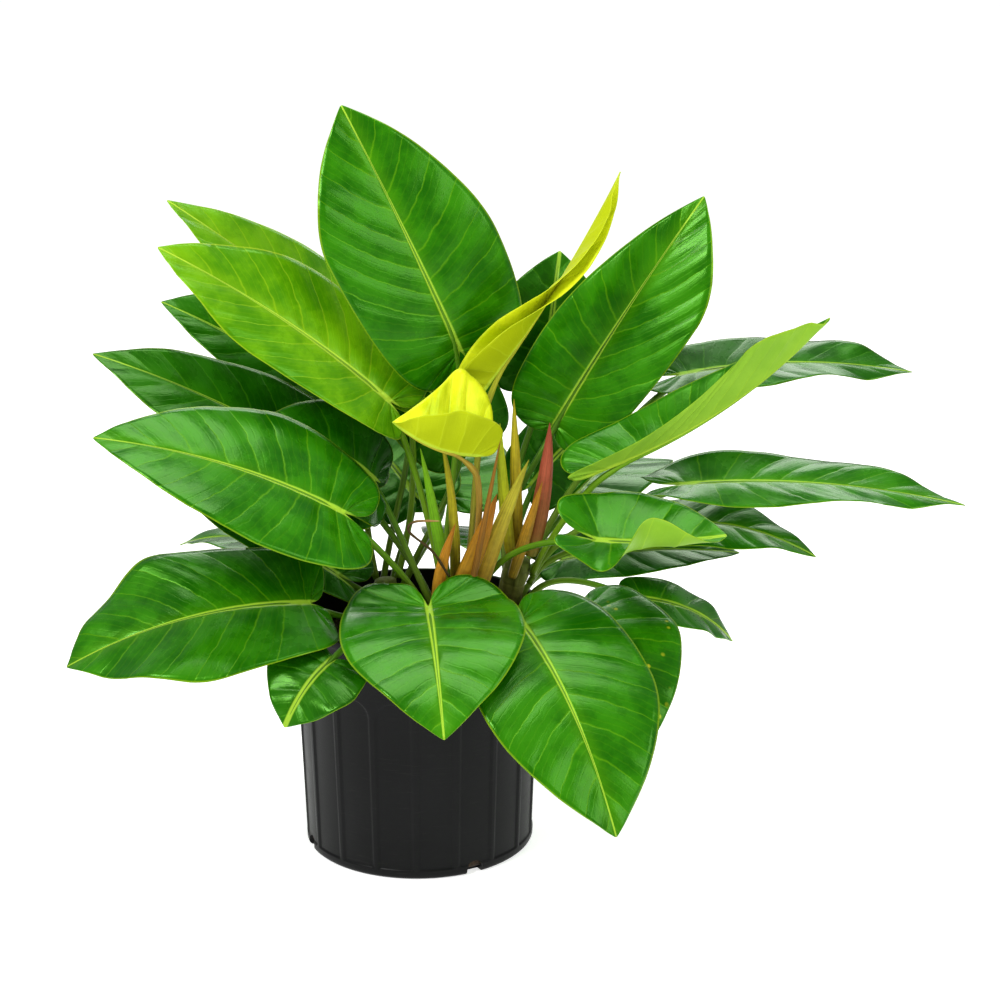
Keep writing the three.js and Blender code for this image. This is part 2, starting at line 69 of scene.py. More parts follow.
# Leaves: name, stem, node height, where petiole and blade meet, tip, facing, half widths, shape.
# Rows with the dark tone get a darker green that is partly their own and partly painted shade, for
# leaves deep in the crown and behind others.
LEAVES = [
    ("leaf_01", "a", 42, (43, 62, 288), (-73, 60, 537), (0.25, -1, 0.35), (88, 88),
      {"bow": 10, "curl": (-6, -14), "lobe": 0.08, "broad": (0.52, 0.32), "crown": (25, -4)}),
    ("leaf_02", "a", 42, (141, 80, 206), (290, 84, 443), (-0.3, -1, 0.4), (64, 74),
      {"bow": 10, "fold": (8, 10), "curl": (-10, -10), "lobe": 0.06, "broad": (0.22, 0.6),
          "tone": "dark",
        "crown": (52, -6)}),
    ("leaf_03", "a", 42, (72, 42, 256), (203, 42, 474), (-0.9, -0.2, 0.6), (40, 40),
      {"bow": -6, "fold": (74, 74), "curl": (8, 8), "lobe": 0.1, "twist": 150, "broad": (0.25, 0.25),
        "tone": "lime", "crown": (46, 5)}),
    ("leaf_04", "a", 42, (58, -22, 200), (-21, -52, 243), (0.1, 0.3, 1), (50, 88),
      {"bow": -8, "fold": (52, 76), "curl": (10, 5), "lobe": 0.26, "broad": (0.3, 0.25),
        "tone": "lime", "crown": (42, -10)}),
    ("leaf_05", "a", 38, (-27, 30, 243), (-251, 0, 406), (0.1, -0.8, 1), (58, 72),
      {"bow": 10, "sway": 4, "curl": (-10, -10), "lobe": 0.1, "broad": (0.5, 0.4), "tone": "fresh",
          "turn": -28}),
    ("leaf_06", "c", 46, (-14, 88, 259), (-252, 84, 439), (0.1, -0.6, 1), (60, 60),
      {"bow": 6, "tone": "fresh", "turn": -15}),
    ("leaf_07", "c", 44, (-78, 125, 208), (-267, 118, 328), (0.1, -0.8, 1), (50, 76),
      {"bow": 14, "tone": "dark", "turn": 6}),
    ("leaf_08", "a", 32, (-70, 44, 158), (-324, 24, 294), (0.1, -0.7, 1), (70, 62),
      {"bow": 18, "tone": "dark"}),
    ("leaf_09", "a", 38, (-43, 18, 164), (-176, -10, 219), (0.1, -0.8, 1), (66, 60),
      {"bow": 26, "tone": "dark", "turn": 22}),
    ("leaf_10", "a", 26, (-69, -66, 154), (-306, -98, 239), (0.0, -0.6, 1), (84, 84),
      {"bow": 18, "curl": (-14, -14)}),
    ("leaf_11", "c", 26, (-82, 14, 64), (-280, 14, 184), (0.2, -0.6, 1), (34, 60),
      {"bow": 6, "tone": "dark"}),
    ("leaf_12", "c", 20, over_rim(154.4, 8.7, 31), over_rim(160.5, 139.5, 38), (0, 0, 1), (50, 50),
      {"bow": 16}),
    ("leaf_13", "a", 10, over_rim(-145.3, -3.5, 28), over_rim(-161.2, 229.2, -23), (-0.2, -0.6, 1),
        (90, 88),
      {"bow": 24, "lobe": 0.08, "broad": (0.4, 0.5), "wave": (6, 3, 0.2), "lean": (0, 0, -16)}),
    ("leaf_14", "a", 8, over_rim(-119.5, 28.5, -7), over_rim(-123.5, 90.8, -59), (-0.4, -1, 0.5),
        (50, 50),
      {"bow": 12, "lobe": 0.1, "tone": "dark", "lean": (0, 0, HEADSPACE - 3)}),
    ("leaf_15", "a", 20, over_rim(-80, -54.9, 25), over_rim(-82.4, 112.1, -49), (0, -0.5, 1), (90, 90),
      {"bow": 20, "fold": (6, 6), "lobe": 0.18, "perk": 32}),
    ("leaf_16", "a", 10, over_rim(-38.9, 3.7, 14), over_rim(-52.3, 185.8, -143), (0.15, -0.6, 1),
        (92, 88),
      {"bow": 28, "fold": (6, 6), "lobe": 0.15, "broad": (0.4, 0.4), "lean": (0, 0, 12)}),
    ("leaf_17", "b", 20, over_rim(-6.7, 41.2, 7), over_rim(-28.8, 139.4, -89), (0.3, -0.8, 1), (70, 70),
      {"bow": 22, "fold": (6, 6), "turn": -10, "lean": (0, 0, 14)}),
    ("leaf_18", "b", 20, over_rim(9.1, 98.8, -3), over_rim(11.3, 206.5, -61), (0.2, -0.4, 1), (36, 36),
      {"bow": 14, "fold": (6, 6), "turn": -12, "lean": (0, 0, HEADSPACE - 14)}),
    ("leaf_19", "b", 30, over_rim(26.3, 37.3, 27), over_rim(14.6, 218.3, 30), (0, -0.35, 1), (46, 44),
      {"bow": 8, "fold": (6, 6), "tone": "dark", "lean": (0, 0, HEADSPACE - 34)}),
    ("leaf_20", "a", 36, (179, -58, 124), (306, -78, 135), (-0.2, -0.6, 1), (62, 62),
      {"bow": -6, "fold": (6, 10), "curl": (-6, -4), "roll": (0, 170), "slim": (1, 0.7), "lobe": 0.34,
          "perk": 20,
        "turn": 42, "lean": (0, 0, 20)}),
    ("leaf_21", "b", 50, (230, 60, 99), (408, 20, 82), (0, -0.3, 1), (46, 46),
      {"bow": 22, "fold": (6, 6)}),
    ("leaf_22", "b", 60, (268, 30, 156), (558, 20, 137), (0, -0.25, 1), (52, 50),
      {"bow": 13, "wave": (5, 3, 0)}),
    ("leaf_23", "b", 66, (191, -10, 183), (407, -20, 340), (-0.4, -0.6, 0.8), (52, 52),
      {"bow": -24, "fold": (8, 92), "curl": (0, 10), "tone": "fresh", "lobe": 0.15, "broad": (0.2, 0.66),
          "slim": (1, 0.4)}),
    ("leaf_24", "b", 76, (272, 120, 250), (515, 120, 253), (0, -0.3, 1), (54, 50),
      {"bow": 13, "wave": (4, 2.5, 0.3), "tone": "dark"}),
    ("leaf_25", "b", 60, (131, 150, 240), (147, 170, 372), (0, -1, 0.3), (66, 66),
      {"bow": 12, "tone": "dark", "turn": 42}),
    ("leaf_26", "c", 40, (-22, 216, 232), (-104, 218, 352), (0, -1, 0.5), (56, 56),
      {"bow": 12, "tone": "dark", "turn": 16, "lean": (18, 0, 8)}),
    ("leaf_27", "c", 34, (48, 110, 185), (-37, 150, 290), (0, -1, 0.5), (62, 62),
      {"bow": 12, "tone": "dark", "turn": -10}),
    ("leaf_28", "b", 40, (118, 120, 130), (204, 175, 196), (0, -0.6, 1), (50, 50),
      {"bow": 12, "tone": "dark", "turn": 18}),
    ("leaf_29", "c", 30, (-8, 142, 112), (-100, 270, 162), (-0.4, 0.2, 1), (66, 66),
      {"bow": 18, "tone": "dark", "turn": 2}),
    ("leaf_30", "c", 24, (24, 165, 104), (18, 352, 112), (0, 0.3, 1), (70, 70),
      {"bow": 26, "turn": -10, "lean": (8, 0, 0)}),
    ("leaf_31", "b", 34, (166, 150, 110), (256, 320, 95), (0.2, 0.3, 1), (66, 74),
      {"bow": 24, "turn": 8}),
    ("leaf_32", "b", 12, over_rim(65, 35.5, 25), over_rim(76.4, 209.6, -65), (0, 0.5, 1), (76, 76),
      {"bow": 26, "turn": 40, "lean": (0, 0, 10)}),
    ("leaf_33", "b", 20, over_rim(32.3, 94.7, 25), over_rim(33.3, 252.8, 5), (0.2, 0.2, 1), (50, 50),
      {"bow": 20, "turn": 24, "lean": (0, 14, HEADSPACE - 22)}),
]

# Sheaths: name, foot, tip, width, depth, sideways bend, colours from base to tip, slot.
SHEATHS = [
    ("sheath_pink", (114, 13, 86), (134, 12, 226), 19, 16, (8, 0),
     ((0.0, (0.20, 0.19, 0.02)), (0.18, (0.33, 0.105, 0.030)), (0.6, (0.40, 0.078, 0.046)),
      (1.0, (0.30, 0.045, 0.032))), "sheath_pink"),
    ("sheath_tan", (58, -20, 46), (113, -8, 193), 18, 12, (-6, 0),
     ((0.0, (0.319, 0.182, 0.017)), (0.3, (0.522, 0.336, 0.033)), (0.7, (0.464, 0.406, 0.033)),
         (1.0, (0.290, 0.266, 0.017))), "sheath_tan"),
    ("sheath_russet", (36, -31, 47), (81, -24, 162), 21, 12, (4, 0),
     ((0.0, (0.232, 0.140, 0.011)), (0.35, (0.392, 0.196, 0.011)), (0.8, (0.406, 0.140, 0.010)),
         (1.0, (0.232, 0.070, 0.006))), "sheath_tan"),
    ("sheath_short", (20, -34, 44), (40, -40, 136), 13, 10, (-8, 0),
     ((0.0, (0.290, 0.182, 0.011)), (0.5, (0.551, 0.238, 0.017)), (1.0, (0.348, 0.112, 0.008))),
     "sheath_tan"),
    ("sheath_small", (96, 0, 66), (127, -2, 169), 12, 9, (0, 0),
     ((0.0, (0.290, 0.196, 0.017)), (0.6, (0.493, 0.238, 0.017)), (1.0, (0.319, 0.126, 0.008))),
     "sheath_tan"),
    ("sheath_green", (31, -15, 46), (4, 0, 203), 13, 8, (4, 0),
     ((0.0, (0.087, 0.182, 0.006)), (0.5, (0.123, 0.336, 0.006)), (1.0, (0.160, 0.378, 0.007))),
     "sheath_green"),
    ("sheath_olive", (37, 5, 45), (24, 12, 214), 11, 8, (12, 0),
     ((0.0, (0.232, 0.182, 0.011)), (0.5, (0.478, 0.420, 0.017)), (1.0, (0.319, 0.280, 0.011))),
     "sheath_tan"),
    ("sheath_lime", (95, 13, 86), (84, 14, 225), 13, 9, (-4, 0),
     ((0.0, (0.319, 0.252, 0.011)), (0.5, (0.493, 0.560, 0.017)), (1.0, (0.362, 0.448, 0.011))),
     "sheath_green"),
    ("sheath_ochre", (102, 25, 86), (98, 15, 250), 13, 9, (0, 0),
     ((0.0, (0.319, 0.210, 0.011)), (0.5, (0.493, 0.378, 0.017)), (1.0, (0.348, 0.308, 0.011))),
     "sheath_tan"),
    ("old_stalk", (46, -45, 20), (85, -30, 222), 7, 7, (0, 0),
     ((0.0, (0.072, 0.042, 0.008)), (0.5, (0.246, 0.091, 0.011)), (1.0, (0.290, 0.126, 0.017))), "root"),
]

# What single leaves have of their own: another tone above or below, yellow specks, a coloured stalk. The
# fresh underside of leaf_23 is partly painted glow of light shining through the leaf.
LOOKS = {
    "leaf_04": {"stalk": ((0.30, 0.13, 0.02), (0.34, 0.20, 0.03), (0.45, 0.42, 0.03))},
    "leaf_03": {"stalk": ((0.24, 0.20, 0.03), (0.36, 0.36, 0.03), (0.60, 0.62, 0.02))},
    "leaf_02": {"top": "green"},
    "leaf_17": {"specks": 1.0},
    "leaf_20": {"under": "fresh"},
    # leaf_23's underside stays in the fresh tone: partly its own paler green, partly a painted glow of
    # light shining through the near half of the leaf.
    "leaf_23": {"top": "green", "under": "fresh"},
}

# ---------------------------------------------------------------- small helpers
def unit(a):
    return a / np.maximum(np.linalg.norm(a, axis=-1, keepdims=True), 1e-12)


def lift(points):
    """Plant coordinates in millimetres to the row frame in metres."""
    return np.asarray(points, float) * MM + np.array([0, 0, MIX_LEVEL])


def cubic(handles, s):
    a, b, c, d = (np.asarray(h, float) for h in handles)
    s = np.asarray(s, float)[..., None]
    return (1 - s) ** 3 * a + 3 * (1 - s) ** 2 * s * b + 3 * (1 - s) * s * s * c + s**3 * d


def smooth(edge0, edge1, x):
    s = np.clip((np.asarray(x, float) - edge0) / (edge1 - edge0), 0, 1)
    return s * s * (3 - 2 * s)


class Shell:
    """Collects closed surfaces, then makes one mesh object of them."""

    def __init__(self, name):
        self.name, self.count = name, 0
        self.points, self.faces, self.maps, self.slots = [], [], [], []

    def add(self, points, faces, uv, slot=0):
        points = np.asarray(points, float).reshape(-1, 3)
        self.points.append(points)
        for group, corners in zip(faces, uv):
            self.faces.append(np.asarray(group) + self.count)
            self.maps.append(np.asarray(corners, float))
            self.slots.append(np.full(len(group), slot))
        self.count += len(points)

    def build(self, materials, sharp=None):
        mesh = bpy.data.meshes.new(self.name)
        points = np.concatenate(self.points)
        mesh.vertices.add(len(points))
        mesh.vertices.foreach_set("co", points.astype(np.float32).ravel())
        loops = np.concatenate([f.ravel() for f in self.faces])
        sizes = np.concatenate([np.full(len(f), f.shape[1]) for f in self.faces])
        mesh.loops.add(len(loops))
        mesh.loops.foreach_set("vertex_index", loops.astype(np.int32))
        mesh.polygons.add(len(sizes))
        starts = np.concatenate([[0], np.cumsum(sizes)[:-1]])
        mesh.polygons.foreach_set("loop_start", starts.astype(np.int32))
        mesh.polygons.foreach_set("material_index", np.concatenate(self.slots).astype(np.int32))
        mesh.polygons.foreach_set("use_smooth", np.ones(len(sizes), bool))
        maps = np.concatenate([m.reshape(-1, m.shape[-1]) for m in self.maps])
        for k, layer in enumerate(("vein", "flat")[: maps.shape[1] // 2]):
            uv = mesh.uv_layers.new(name=layer)
            uv.data.foreach_set("uv", maps[:, 2 * k : 2 * k + 2].astype(np.float32).ravel())
        mesh.update(calc_edges=True)
        mesh.validate()
        if sharp:
            mesh.set_sharp_from_angle(angle=math.radians(sharp))
        for material in materials:
            mesh.materials.append(material)
        piece = bpy.data.objects.new(self.name, mesh)
        bpy.context.scene.collection.objects.link(piece)
        return piece


def lattice(rows, columns, around=False):
    """Quads over a grid of rows x columns points, and the grid place of each of their corners."""
    i, j = np.meshgrid(np.arange(rows - 1), np.arange(columns if around else columns - 1), indexing="ij")
    i, j = i.ravel(), j.ravel()
    place = np.stack([np.stack([i, j], 1), np.stack([i, j + 1], 1), np.stack([i + 1, j + 1], 1),
        np.stack([i + 1, j], 1)], 1)
    return place[..., 0] * columns + place[..., 1] % columns, place


def tube(shell, centres, radii, sides=14, slot=0, squash=1.0, ridges=None):
    """A closed tube through the centres; its map runs round it and along it, in decimetres."""
    centres = np.asarray(centres, float)
    along = unit(np.gradient(centres, axis=0))
    start = np.cross(along[0], [0.2, 0.9, 0.1])
    normals = [unit(start)]
    for a in along[1:]:
        n = normals[-1] - a * np.dot(normals[-1], a)
        normals.append(unit(n))
    normals = np.array(normals)
    binormals = np.cross(along, normals)
    angle = 2 * math.pi * np.arange(sides) / sides
    reach = np.asarray(radii, float)[:, None] * np.ones((1, sides))
    if ridges is not None:
        reach = reach * ridges(np.linspace(0, 1, len(centres))[:, None], angle[None, :])
    rings = (
        centres[:, None]
        + normals[:, None] * (reach * np.cos(angle))[..., None]
        + binormals[:, None] * (reach * np.sin(angle) * squash)[..., None]
    )
    quads, place = lattice(len(centres), sides, around=True)
    length = np.concatenate([[0], np.cumsum(np.linalg.norm(np.diff(centres, axis=0), axis=1))])
    uv = np.stack([place[..., 1] / sides, place[..., 0] / (len(centres) - 1)], -1)
    flat = np.stack([place[..., 1] / sides * 2 * math.pi * radii[0] / 100, length[place[..., 0]] / 100],
        -1)
    corners = np.concatenate([uv, flat], -1)
    first = np.arange(sides)[::-1][None, :]
    last = (np.arange(sides) + (len(centres) - 1) * sides)[None, :]
    caps = [np.tile([0.5, 0.0, 0.0, 0.0], (1, sides, 1)),
        np.tile([0.5, 1.0, 0.0, length[-1] / 100], (1, sides, 1))]
    shell.add(lift(rings), [quads, first, last], [corners, *caps], slot)


def finish_piece(piece, slot, *nodes):
    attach(piece, "root")
    if nodes:
        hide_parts(*nodes)
    return piece


# ---------------------------------------------------------------- materials
class Paint:
    """A node material around one Principled shader."""

    def __init__(self, name):
        self.material = bpy.data.materials.new(name)
        self.material.use_nodes = True
        self.tree = self.material.node_tree
        self.shader = self.tree.nodes["Principled BSDF"]

    def link(self, value, socket):
        if isinstance(value, bpy.types.NodeSocket):
            self.tree.links.new(value, socket)
        elif isinstance(value, (tuple, list)) and len(value) == 3 and socket.type == "RGBA":
            socket.default_value = (*value, 1)
        else:
            socket.default_value = value

    def node(self, kind, values=(), out=0, **settings):
        made = self.tree.nodes.new(kind)
        for key, value in settings.items():
            setattr(made, key, value)
        for key, value in dict(values).items():
            self.link(value, made.inputs[key])
        return made.outputs[out]

    def math(self, operation, a, b=0.0, clamp=False):
        return self.node("ShaderNodeMath", {0: a, 1: b}, operation=operation, use_clamp=clamp)

    def step(self, value, low, high, to_low=0.0, to_high=1.0):
        return self.node(
            "ShaderNodeMapRange",
            {0: value, 1: low, 2: high, 3: to_low, 4: to_high},
            interpolation_type="SMOOTHSTEP",
        )

    def mix(self, factor, a, b, blend="MIX"):
        return self.node("ShaderNodeMix", {0: factor, 6: a, 7: b}, out=2, data_type="RGBA",
            blend_type=blend)

    def noise(self, vector, scale, detail=3.0, rough=0.55, warp=0.0):
        values = {"Vector": vector, "Scale": scale, "Detail": detail, "Roughness": rough,
            "Distortion": warp}
        return self.node("ShaderNodeTexNoise", values)

    def uv(self, name):
        vector = self.node("ShaderNodeUVMap", uv_map=name)
        parts = self.tree.nodes.new("ShaderNodeSeparateXYZ")
        self.tree.links.new(vector, parts.inputs[0])
        return vector, parts.outputs[0], parts.outputs[1]

    def place(self):
        return self.node("ShaderNodeTexCoord", out=3)

    def stretch(self, x, y, z=0.0):
        return self.node("ShaderNodeCombineXYZ", {0: x, 1: y, 2: z})

    def ramp(self, factor, *stops):
        made = self.tree.nodes.new("ShaderNodeValToRGB")
        self.tree.links.new(factor, made.inputs[0])
        elements = made.color_ramp.elements
        while len(elements) < len(stops):
            elements.new(0.5)
        for element, (position, colour) in zip(elements, stops):
            element.position, element.color = position, (*colour, 1)
        return made.outputs[0]

    def done(self, colour, roughness, height=None, depth=0.001, strength=1.0, **constants):
        self.link(colour, self.shader.inputs["Base Color"])
        self.link(roughness, self.shader.inputs["Roughness"])
        if height is not None:
            bump = self.node("ShaderNodeBump",
                {"Height": height, "Distance": depth, "Strength": strength})
            self.tree.links.new(bump, self.shader.inputs["Normal"])
        for key, value in constants.items():
            self.shader.inputs[key.replace("_", " ")].default_value = value
        return self.material


def blend(a, b, share):
    return tuple(x + (y - x) * share for x, y in zip(a, b))


# Linear colours of each tone: the deep and the light green of its upper side, its veins, its
# underside and its petiole. The dark tone is partly the leaves' own deeper green and partly painted
# shade, a shaded copy of the green for leaves deep in the crown and behind other leaves.
TONES = {
    "dark": ((0.0035, 0.052, 0.0002), (0.010, 0.104, 0.0004), (0.060, 0.24, 0.003),
        (0.060, 0.170, 0.014), (0.045, 0.150, 0.003)),
    "green": ((0.006, 0.088, 0.0002), (0.022, 0.170, 0.0004), (0.16, 0.40, 0.004), (0.105, 0.270, 0.020),
        (0.065, 0.200, 0.003)),
    "fresh": ((0.050, 0.200, 0.0004), (0.125, 0.330, 0.0010), (0.36, 0.56, 0.012), (0.230, 0.430, 0.030),
        (0.120, 0.290, 0.004)),
    "lime": ((0.52, 0.60, 0.004), (0.80, 0.84, 0.018), (0.62, 0.74, 0.030), (0.40, 0.47, 0.004),
        (0.36, 0.28, 0.030)),
}


def leaf_paint(name, tone, veins, seed, under=False, specks=0.0):
    """Green lamina with pale midrib, side veins and margin. Map "vein" holds the side of the midrib
    and the place along the veins, map "flat" the distance from the midrib and from the notch."""
    deep, light, vein, below, _ = TONES[tone]
    if under:
        deep, light, vein = blend(below, deep, 0.25), below, blend(below, vein, 0.6)
    p = Paint(name)
    _, t, u = p.uv("vein")
    flat, x, y = p.uv("flat")
    side = p.math("ABSOLUTE", p.math("SUBTRACT", p.math("MULTIPLY", t, 2.0), 1.0))
    from_rib = p.math("ABSOLUTE", x)
    moved = p.node("ShaderNodeVectorMath", {0: flat, 1: (seed * 3.7, seed * 1.3, seed)}, operation="ADD")
    cloud = p.noise(moved, 2.2, 4.0, 0.6)
    wobble = p.math("MULTIPLY", p.math("SUBTRACT", p.noise(moved, 5.0, 2.0), 0.5), 0.22)
    hand = p.math("MULTIPLY", p.math("GREATER_THAN", t, 0.5), 0.45)
    phase = p.math("ADD", p.math("ADD", p.math("MULTIPLY", u, float(veins)), hand), wobble)
    ridge = p.math("ABSOLUTE", p.math("SUBTRACT", p.math("FRACT", phase), 0.5))
    fine = p.math("ABSOLUTE", p.math("SUBTRACT", p.math("FRACT", p.math("MULTIPLY", phase, 4.0)), 0.5))
    line = p.step(ridge, p.step(side, 0.0, 1.0, 0.43, 0.475), 0.5)
    hair = p.step(fine, 0.36, 0.5)
    rib_width = p.step(y, 0.0, 2.2, 0.034, 0.008)
    rib = p.math("SUBTRACT", 1.0, p.step(p.math("DIVIDE", from_rib, rib_width), 0.75, 1.35))
    near_rib = p.math("SUBTRACT", 1.0, p.step(from_rib, 0.0, 0.16))
    margin = p.step(side, 0.978, 0.992)
    body = p.mix(p.step(cloud, 0.34, 0.66), deep, light)
    body = p.mix(p.math("MULTIPLY", near_rib, 0.35), body, blend(light, vein, 0.35))
    body = p.mix(p.math("MULTIPLY", hair, 0.06), body, vein)
    body = p.mix(p.math("MULTIPLY", line, 0.42 if under else 0.28), body, vein)
    body = p.mix(p.math("MULTIPLY", margin, 0.55), body, blend(vein, (0.45, 0.50, 0.02), 0.4))
    body = p.mix(p.math("MULTIPLY", rib, 0.9), body, blend(vein, (0.44, 0.64, 0.05), 0.65))
    if specks:
        spots = p.node("ShaderNodeTexVoronoi", {"Vector": moved, "Scale": 9.0, "Randomness": 1.0})
        patch = p.step(p.noise(moved, 1.6, 1.0), 0.60, 0.70)
        shown = p.math("MULTIPLY", p.math("SUBTRACT", 1.0, p.step(spots, 0.10, 0.26)), patch)
        body = p.mix(p.math("MULTIPLY", shown, specks), body, (0.55, 0.52, 0.02))
    pillow = p.math("SQRT", p.math("SUBTRACT", 0.5, ridge, clamp=True))
    long_grain = p.stretch(p.math("MULTIPLY", phase, 2.4), p.math("MULTIPLY", side, 3.0), seed)
    grain = p.noise(long_grain, 2.0, 3.0)
    skin = p.noise(moved, 60.0, 2.0)
    height = p.math("ADD", p.math("MULTIPLY", pillow, -0.9 if under else 0.75),
        p.math("MULTIPLY", grain, 0.42))
    height = p.math("ADD", height, p.math("MULTIPLY", hair, 0.10 if under else -0.10))
    height = p.math("ADD", height, p.math("MULTIPLY", rib, 0.9 if under else -0.55))
    height = p.math("ADD", height, p.math("MULTIPLY", skin, 0.035))
    if under:
        shine = p.step(cloud, 0.3, 0.7, 0.44, 0.58)
        return p.done(body, shine, height, 0.0007, 0.7, Specular_IOR_Level=0.3,
                      Specular_Tint=(0.5, 1.0, 0.2, 1))
    shine = p.math("ADD", p.step(cloud, 0.3, 0.7, 0.20, 0.32), p.math("MULTIPLY", rib, 0.12))
    return p.done(body, shine, height, 0.0008, 0.8, Specular_IOR_Level=0.5,
                  Specular_Tint=(0.35, 1.0, 0.12, 1), Coat_Weight=0.05, Coat_Roughness=0.12)


def stalk_paint(name, stops, seed, roughness=0.36, depth=0.0004):
    """Streaked along the length; stops colour it from its base to its end."""
    p = Paint(name)
    _, around, along = p.uv("vein")
    wide = p.stretch(p.math("MULTIPLY", around, 26.0), p.math("MULTIPLY", along, 3.0), seed)
    streak = p.noise(wide, 1.0, 3.0)
    fleck = p.noise(p.stretch(p.math("MULTIPLY", around, 9.0), p.math("MULTIPLY", along, 26.0),
        seed + 4), 1.0, 3.0)
    place = p.math("ADD", along, p.math("MULTIPLY", p.math("SUBTRACT", fleck, 0.5), 0.12))
    colour = p.ramp(place, *stops)
    shade = p.ramp(p.math("ADD", p.math("MULTIPLY", streak, 0.7), p.math("MULTIPLY", fleck, 0.3)),
                   (0.32, (0.55, 0.55, 0.50)), (0.62, (1.12, 1.12, 1.05)))
    colour = p.mix(1.0, colour, shade, "MULTIPLY")
    height = p.math("ADD", streak, p.math("MULTIPLY", fleck, 0.4))
    shine = p.step(streak, 0.3, 0.7, roughness - 0.06, roughness + 0.12)
    return p.done(colour, shine, height, depth, 0.8,
                  Specular_IOR_Level=0.4, Specular_Tint=(0.85, 0.95, 0.35, 1))


# ---------------------------------------------------------------- leaves
PETIOLE_RADIUS, RIB_REACH, BLADE, FULL_FOLD_WIDTH, CLEARANCE = 3.6, 18, 2.0, 14.0, 0.4
SIDE_STEPS, LENGTH_STEPS = 18, 88


def outline(u, lobe, broad):
    """One half of the flat blade, of unit half-width and length: notch, lobe, widest point, tip."""
    rest = 1 - broad
    found = np.zeros((*u.shape, 2))
    for low, high, handles in (
        (0.0, 0.2, ((0.02, -0.01), (0.05, -0.7 * lobe), (0.2, -lobe), (0.46, -lobe))),
        (0.2, 0.5, ((0.46, -lobe), (0.84, -lobe), (1, broad - 0.25), (1, broad))),
        (0.5, 1.0, ((1, broad), (1, broad + 0.42 * rest), (0.34, broad + 0.84 * rest), (0.012, 1))),
    ):
        inside = (u >= low) & (u <= high)
        found[inside] = cubic(handles, (u[inside] - low) / (high - low))
    return found


class Midrib:
    """The blade's place in space: its midrib, and the sideways and upward directions along it."""

    def __init__(self, joint, tip, facing, shape):
        self.start, self.tip = np.array(joint, float), np.array(tip, float)
        self.length = np.linalg.norm(self.tip - self.start)
        chord = (self.tip - self.start) / self.length
        facing = np.array(facing, float)
        self.up = unit(facing - chord * np.dot(facing, chord))
        right = np.cross(chord, self.up)
        self.middle = (self.start + self.tip) / 2
        self.middle += self.up * 2 * shape.get("bow", 0) + right * 2 * shape.get("sway", 0)
        self.perk = math.radians(shape.get("perk", 0))
        self.twist = math.radians(shape.get("twist", 0))

    def at(self, v):
        v = np.asarray(v, float)
        s = np.maximum(v, 0)[..., None]
        point = (1 - s) ** 2 * self.start + 2 * (1 - s) * s * self.middle + s * s * self.tip
        along = unit((1 - s) * (self.middle - self.start) + s * (self.tip - self.middle))
        side = unit(np.cross(along, self.up))
        over = np.cross(side, along)
        behind = self.length * np.minimum(v, 0)[..., None]
        point = point + along * behind * math.cos(self.perk) - over * behind * math.sin(self.perk)
        turn = self.twist * s
        side, over = side * np.cos(turn) - over * np.sin(turn), over * np.cos(turn) + side * np.sin(turn)
        return point, along, side, over


def petiole_path(rib, stem, node_height, joint, shape):
    top, foot = np.array(stem["top"], float), np.array([*stem["foot"], 0], float)
    axis = foot + (top - foot) * node_height / top[2]
    point, along, _, over = (a[0] for a in rib.at(np.array([0.0])))
    meet = point - over * (PETIOLE_RADIUS - BLADE / 2)
    bearing = math.atan2(joint[1] - axis[1], joint[0] - axis[0]) + math.radians(shape.get("turn", 0))
    out = np.array([math.cos(bearing), math.sin(bearing), 0])
    base = axis + out * (stem["radius"] + PETIOLE_RADIUS + 2 * CLEARANCE)
    if "crown" in shape:
        base = np.array([*shape["crown"], top[2] + PETIOLE_RADIUS + CLEARANCE])
    span = np.linalg.norm(meet - base)
    leave = unit(out * 0.35 + np.array([0, 0, 0.8]))
    arrive = unit(unit(meet - base) + along * 0.4)
    lean = np.array(shape.get("lean", (0, 0, 0)), float)
    rising = cubic((base, base + leave * span / 3 + lean, meet - arrive * span / 3 + lean, meet),
        np.linspace(0, 0.94, 26))
    v = np.linspace(RIB_REACH / rib.length, 0.97, 44)
    point, _, _, over = rib.at(v)
    rise = np.interp(v, [0, 0.3, 1], [0.9, 0.5, 0.15])
    path = np.concatenate([rising, point - over * rise[:, None]])
    for _ in range(3):
        path[1:-1] = (path[:-2] + 2 * path[1:-1] + path[2:]) / 4
    far = np.concatenate([np.zeros(26), v])
    radii = np.interp(far, [0, 0.02, 0.12, 0.5, 1], [PETIOLE_RADIUS, 3.3, 2.3, 1.2, 0.45])
    swell = np.interp(np.arange(len(path)), [0, 3, 8], [1.0, 0.98, 0.92])
    return path, radii * swell


